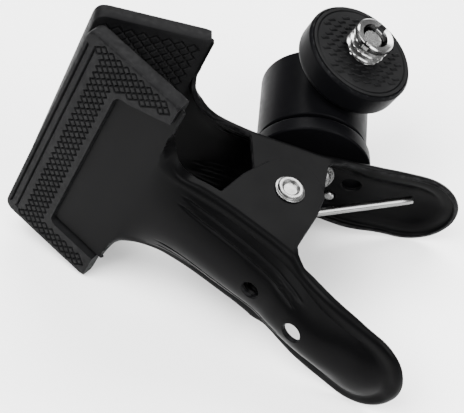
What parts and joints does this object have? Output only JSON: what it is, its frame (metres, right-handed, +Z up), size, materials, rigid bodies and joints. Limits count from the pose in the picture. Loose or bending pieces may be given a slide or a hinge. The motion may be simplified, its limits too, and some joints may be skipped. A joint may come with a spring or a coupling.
{
  "type": "spring clamp with ball head",
  "caption": "Hand-squeezed spring clamp with wide rubber jaws and a small ball head that carries a camera screw.",
  "frame": {"origin": "centre of the bounding box at the table, with the clamp lying on its side on its pad corners and handle edges", "axes": "+X along the clamp from the jaws towards the handles, +Y across from the lower jaw to the upper jaw and its ball head, +Z up from the table"},
  "size_m": [0.102, 0.085, 0.0707],
  "materials": {
    "black_paint": "satin black baked paint on pressed steel",
    "jaw_rubber": "moulded black rubber with engraved diamonds",
    "plated_steel": "bright zinc plate",
    "spring_wire": "bright drawn spring wire",
    "anodised_black": "satin black anodised aluminium",
    "black_nylon": "matte black nylon",
    "ball_metal": "polished ball and stem",
    "platform_rubber": "black rubber with short raised dashes",
    "bright_chrome": "bright nickel or chrome plate"
  },
  "bodies": {
    "lower_jaw": {"lower_lever": "black_paint", "lower_jaw_pad": "jaw_rubber", "pivot_rivet": "plated_steel", "rivet_washer": "plated_steel", "spacer_sleeve": "plated_steel", "torsion_spring": "spring_wire", "clinch_nut": "black_paint"},
    "upper_jaw": {"upper_lever": "black_paint", "upper_jaw_pad": "jaw_rubber", "head_collar": "anodised_black", "head_screw": "plated_steel", "screw_washer": "plated_steel", "locating_pin": "plated_steel", "twist_washer": "black_nylon"},
    "head": {"head_housing": "anodised_black", "ball_cup": "black_nylon", "cup_spring": "spring_wire"},
    "ball": {"ball_stem": "ball_metal"},
    "platform": {"platform_disc": "anodised_black", "platform_pad": "platform_rubber", "camera_stud": "bright_chrome"},
    "adapter": {"thread_adapter": "bright_chrome"}
  },
  "joints": [
    {"name": "lever_pivot", "type": "hinge", "parent": "lower_jaw", "child": "upper_jaw", "pos_m": [0.01169, -0.0114, 0.02171], "axis": [-0.3267, 0, -0.9451], "range_deg": [0, 50], "stiffness_Nm_per_rad": 0.8, "springref_deg": -51.57, "deforming": ["torsion_spring"]},
    {"name": "head_turn", "type": "hinge", "parent": "upper_jaw", "child": "head", "pos_m": [0.01553, 0.00922, 0.02039], "axis": [-0.2318, 0.9694, 0.0801], "range_deg": [-180, 180]},
    {"name": "ball_tilt", "type": "hinge", "parent": "head", "child": "ball", "pos_m": [0.01094, 0.02842, 0.02197], "axis": [-0.8665, -0.2433, 0.4358], "range_deg": [0, 115]},
    {"name": "platform_spin", "type": "hinge", "parent": "ball", "child": "platform", "pos_m": [0.01094, 0.02842, 0.02197], "axis": [0.442, 0.0316, 0.8965], "continuous": true},
    {"name": "adapter_unscrew", "type": "slide", "parent": "platform", "child": "adapter", "axis": [0.442, 0.0316, 0.8965], "range_m": [0, 0.009]}
  ]
}
